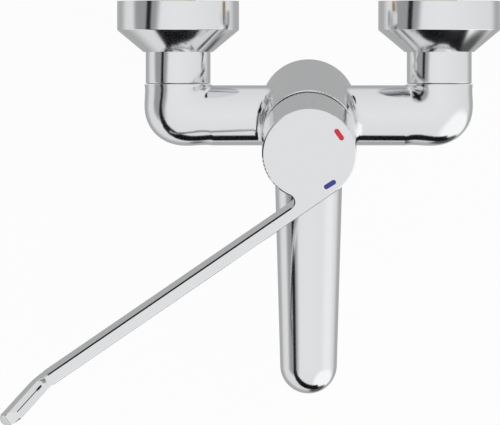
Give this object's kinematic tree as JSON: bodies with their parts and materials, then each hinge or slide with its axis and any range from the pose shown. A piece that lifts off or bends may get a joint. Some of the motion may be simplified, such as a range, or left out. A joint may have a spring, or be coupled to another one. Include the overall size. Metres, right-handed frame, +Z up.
{
  "type": "elbow lever tap",
  "caption": "Wall-mounted basin mixer tap with a long elbow lever, a fixed cast spout and two rosettes over S-unions at standard inlet spacing.",
  "frame": {"origin": "midway between the axes of the two wall threads, in the plane of the wall", "axes": "+Y into the wall, +X along the line of the two inlets (to the right as the user sees it), +Z up"},
  "size_m": [0.2867, 0.2606, 0.1285],
  "materials": {
    "chromed_brass": "polished chrome plate on cast brass",
    "bare_brass": "machined",
    "steel": "machined",
    "ceramic": "lapped alumina ceramic",
    "cartridge_plastic": "moulded",
    "limiter_plastic": "moulded",
    "insert_plastic": "moulded",
    "seal_rubber": "smooth",
    "hot_red": "enamel",
    "cold_blue": "enamel"
  },
  "bodies": {
    "root": {"body_casting": "chromed_brass", "spout": "chromed_brass", "rosette_left": "chromed_brass", "rosette_right": "chromed_brass", "union_nut_left": "chromed_brass", "union_nut_right": "chromed_brass", "cover_dome": "chromed_brass", "aerator_housing": "chromed_brass", "s_union_left": "bare_brass", "s_union_right": "bare_brass", "nipple_left": "bare_brass", "nipple_right": "bare_brass", "cartridge_nut": "bare_brass", "spout_lock_screw": "steel", "fixed_ceramic_disc": "ceramic", "cartridge_base": "cartridge_plastic", "cartridge_shell": "cartridge_plastic", "temperature_limiter": "limiter_plastic", "aerator_insert": "insert_plastic", "check_valve_left": "insert_plastic", "check_valve_right": "insert_plastic", "cartridge_seals": "seal_rubber", "spout_o_rings": "seal_rubber", "nipple_o_ring_left": "seal_rubber", "nipple_o_ring_right": "seal_rubber", "union_washer_left": "seal_rubber", "union_washer_right": "seal_rubber", "aerator_washer": "seal_rubber"},
    "rotor": {"cartridge_rotor": "cartridge_plastic", "stem_pin": "steel"},
    "mixing_disc": {"moving_ceramic_disc": "ceramic", "disc_carrier": "cartridge_plastic"},
    "lever_assembly": {"lever": "chromed_brass", "lever_stem": "steel", "lever_set_screw": "steel", "screw_plug": "chromed_brass", "hot_mark": "hot_red", "cold_mark": "cold_blue"}
  },
  "joints": [
    {"name": "swing", "type": "hinge", "parent": "root", "child": "rotor", "pos_m": [0, -0.0657, -0.006], "axis": [0, -0.2924, 0.9563], "range_deg": [0, 108]},
    {"name": "lift", "type": "hinge", "parent": "rotor", "child": "lever_assembly", "pos_m": [0, -0.07627, 0.02857], "axis": [-0.5821, 0.7776, 0.2377], "range_deg": [-9, 9]},
    {"name": "disc_slide", "type": "slide", "parent": "rotor", "child": "mixing_disc", "axis": [-0.8131, -0.5567, -0.1702], "range_m": [-0.0014, 0.0014]}
  ],
  "couplings": [
    {"joint": "disc_slide", "follows": "lift", "m_per_rad": 0.0085}
  ]
}
